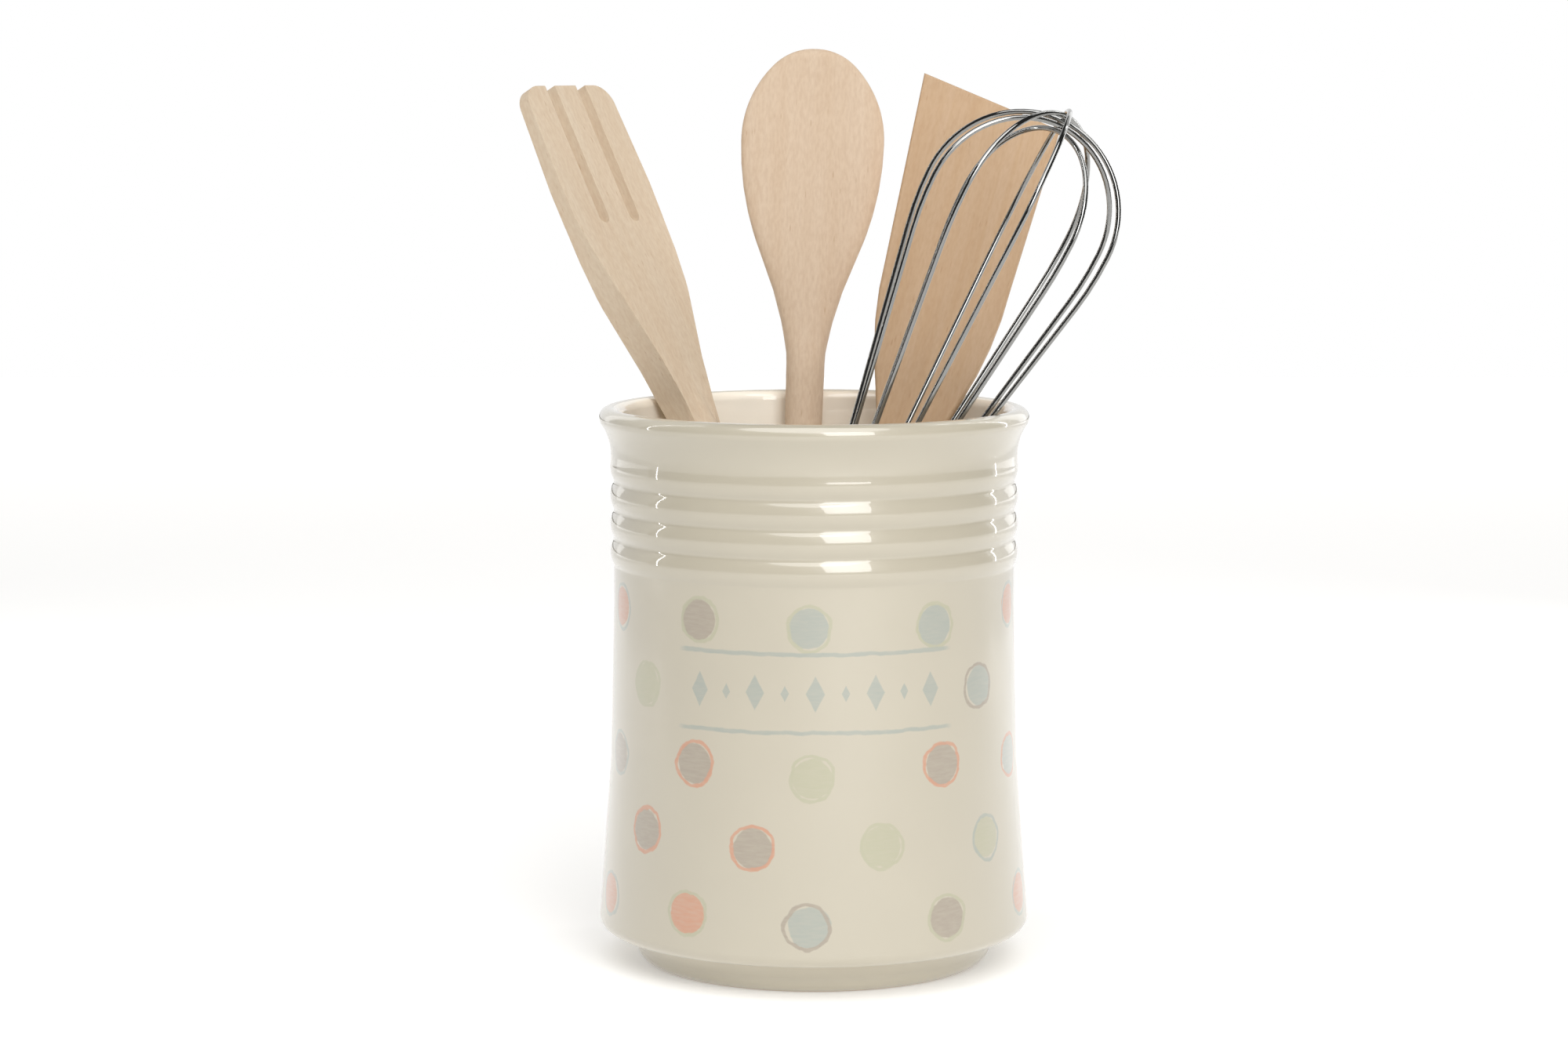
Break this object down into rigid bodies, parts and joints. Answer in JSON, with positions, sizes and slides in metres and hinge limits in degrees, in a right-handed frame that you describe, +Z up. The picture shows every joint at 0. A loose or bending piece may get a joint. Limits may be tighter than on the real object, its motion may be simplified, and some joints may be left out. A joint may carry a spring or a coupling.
{
  "type": "utensil crock",
  "caption": "Ribbed stoneware crock with a flared rim and a stepped foot, holding a wooden spoon, fork and spatula and a balloon whisk that each lift out along their own lean.",
  "frame": {"origin": "on the crock's axis, in the plane its foot ring stands on", "axes": "+Z up along the crock's axis, -Y towards the front that the picture shows, +X to the viewer's right"},
  "size_m": [0.1812, 0.1434, 0.2764],
  "materials": {
    "glazed_stoneware": "gloss",
    "spoon_wood": "bare",
    "fork_wood": "bare",
    "spatula_wood": "bare",
    "handle_wood": "bare",
    "ferrule_steel": "polished",
    "plug_resin": "matte",
    "wire_steel": "polished"
  },
  "bodies": {
    "crock": {"crock_body": "glazed_stoneware"},
    "spoon": {"wooden_spoon": "spoon_wood"},
    "fork": {"wooden_fork": "fork_wood"},
    "spatula": {"wooden_spatula": "spatula_wood"},
    "whisk": {"whisk_handle": "handle_wood", "whisk_ferrule": "ferrule_steel", "whisk_plug": "plug_resin", "whisk_wire_loop_1": "wire_steel", "whisk_wire_loop_2": "wire_steel", "whisk_wire_loop_3": "wire_steel", "whisk_wire_loop_4": "wire_steel", "whisk_wire_loop_5": "wire_steel"}
  },
  "joints": [
    {"name": "spoon_lift", "type": "slide", "parent": "crock", "child": "spoon", "axis": [0.0328, 0.1561, 0.9872], "range_m": [0, 0.18]},
    {"name": "fork_lift", "type": "slide", "parent": "crock", "child": "fork", "axis": [-0.3681, 0.2895, 0.8836], "range_m": [0, 0.18]},
    {"name": "spatula_lift", "type": "slide", "parent": "crock", "child": "spatula", "axis": [0.2487, 0.1761, 0.9524], "range_m": [0, 0.18]},
    {"name": "whisk_lift", "type": "slide", "parent": "crock", "child": "whisk", "axis": [0.4444, -0.0019, 0.8958], "range_m": [0, 0.18]}
  ]
}
